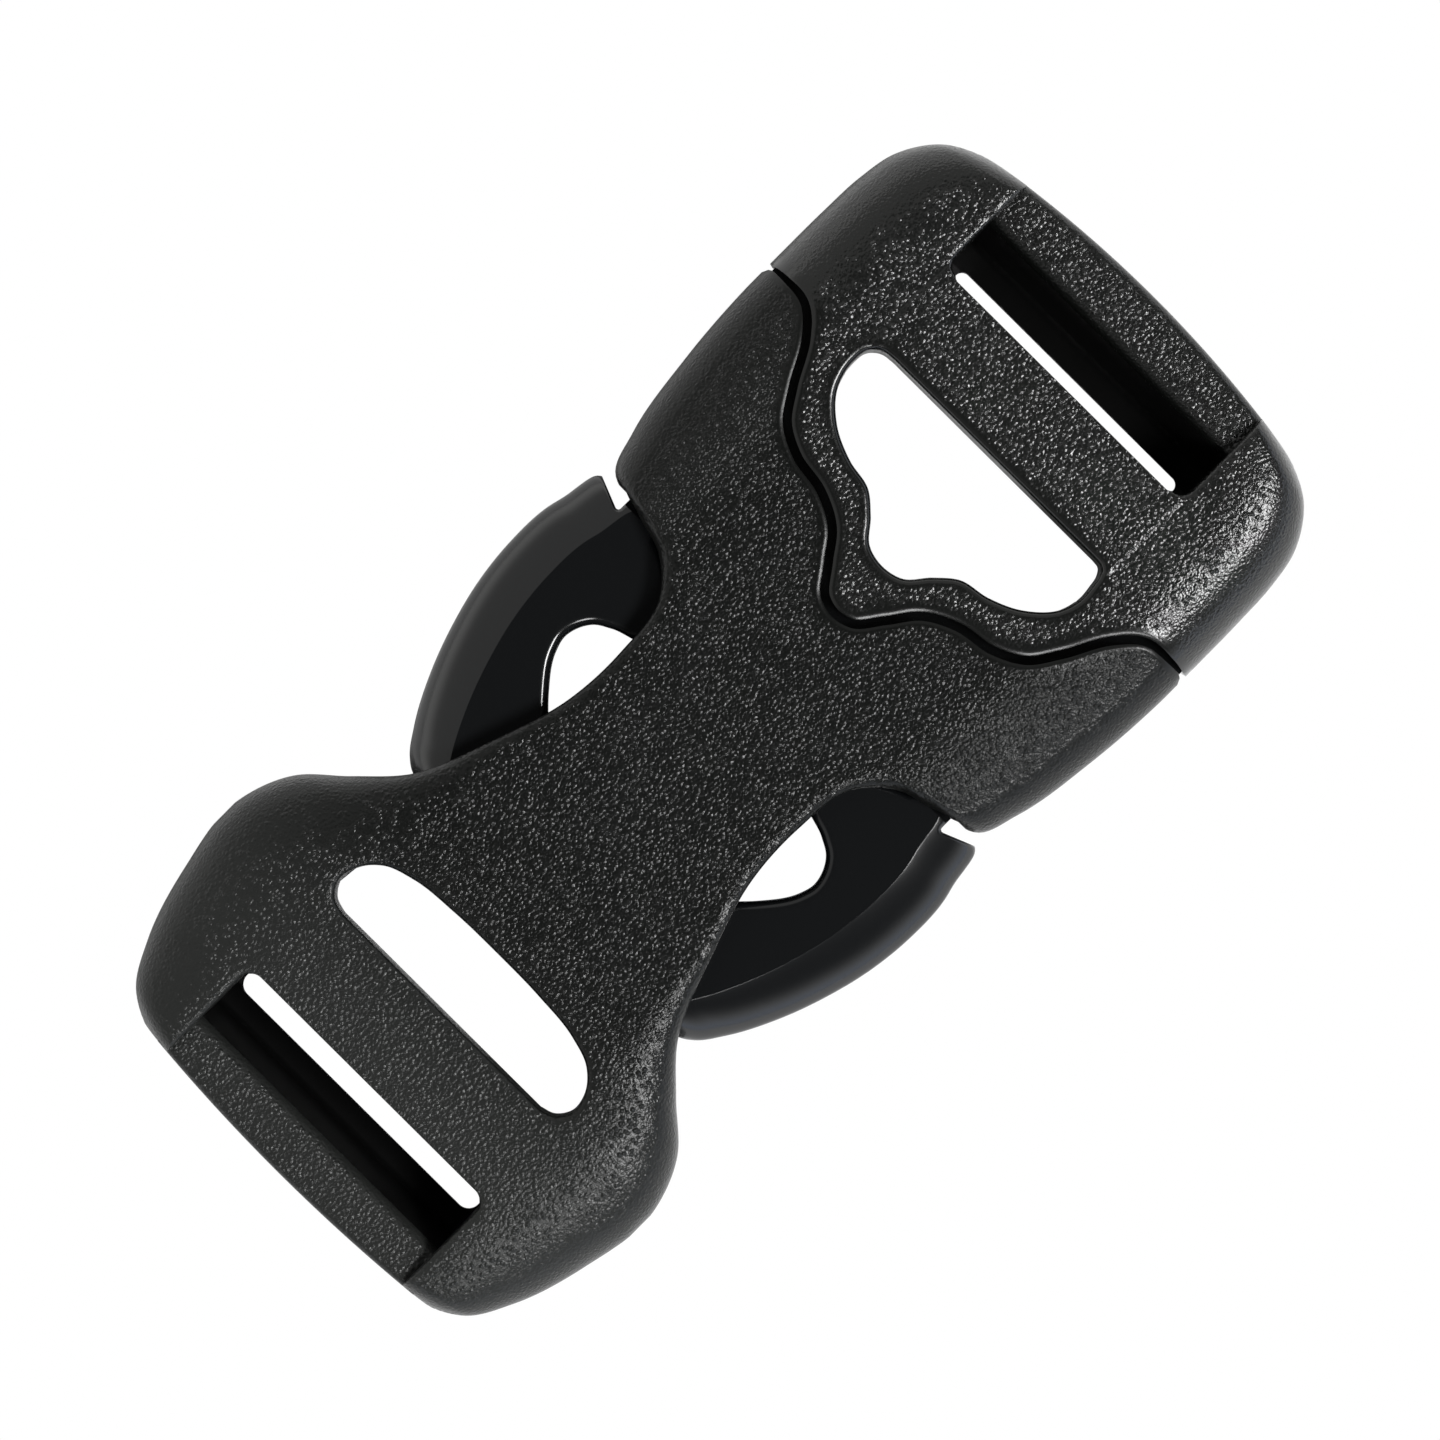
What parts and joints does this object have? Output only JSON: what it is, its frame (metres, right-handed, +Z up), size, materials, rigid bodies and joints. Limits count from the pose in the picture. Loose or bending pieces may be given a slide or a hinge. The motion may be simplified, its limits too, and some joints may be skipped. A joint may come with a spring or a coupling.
{
  "type": "side release buckle",
  "caption": "Fastened side release buckle for narrow webbing: a hollow socket with a waisted middle and a plug whose curved sprung prongs stand out at both sides; strap bars at each end.",
  "frame": {"origin": "middle of the length and width at the underside, where the buckle rests", "axes": "+X along the buckle towards the plug's strap end, +Y across it, +Z up out of the face that the picture shows"},
  "size_m": [0.0598, 0.0284, 0.0074],
  "materials": {
    "socket_moulding": "black acetal, spark-eroded grain on the faces",
    "plug_moulding": "black acetal, spark-eroded grain on the frame, polished prongs"
  },
  "bodies": {
    "root": {"female_socket": "socket_moulding", "male_plug": "plug_moulding"}
  },
  "joints": []
}
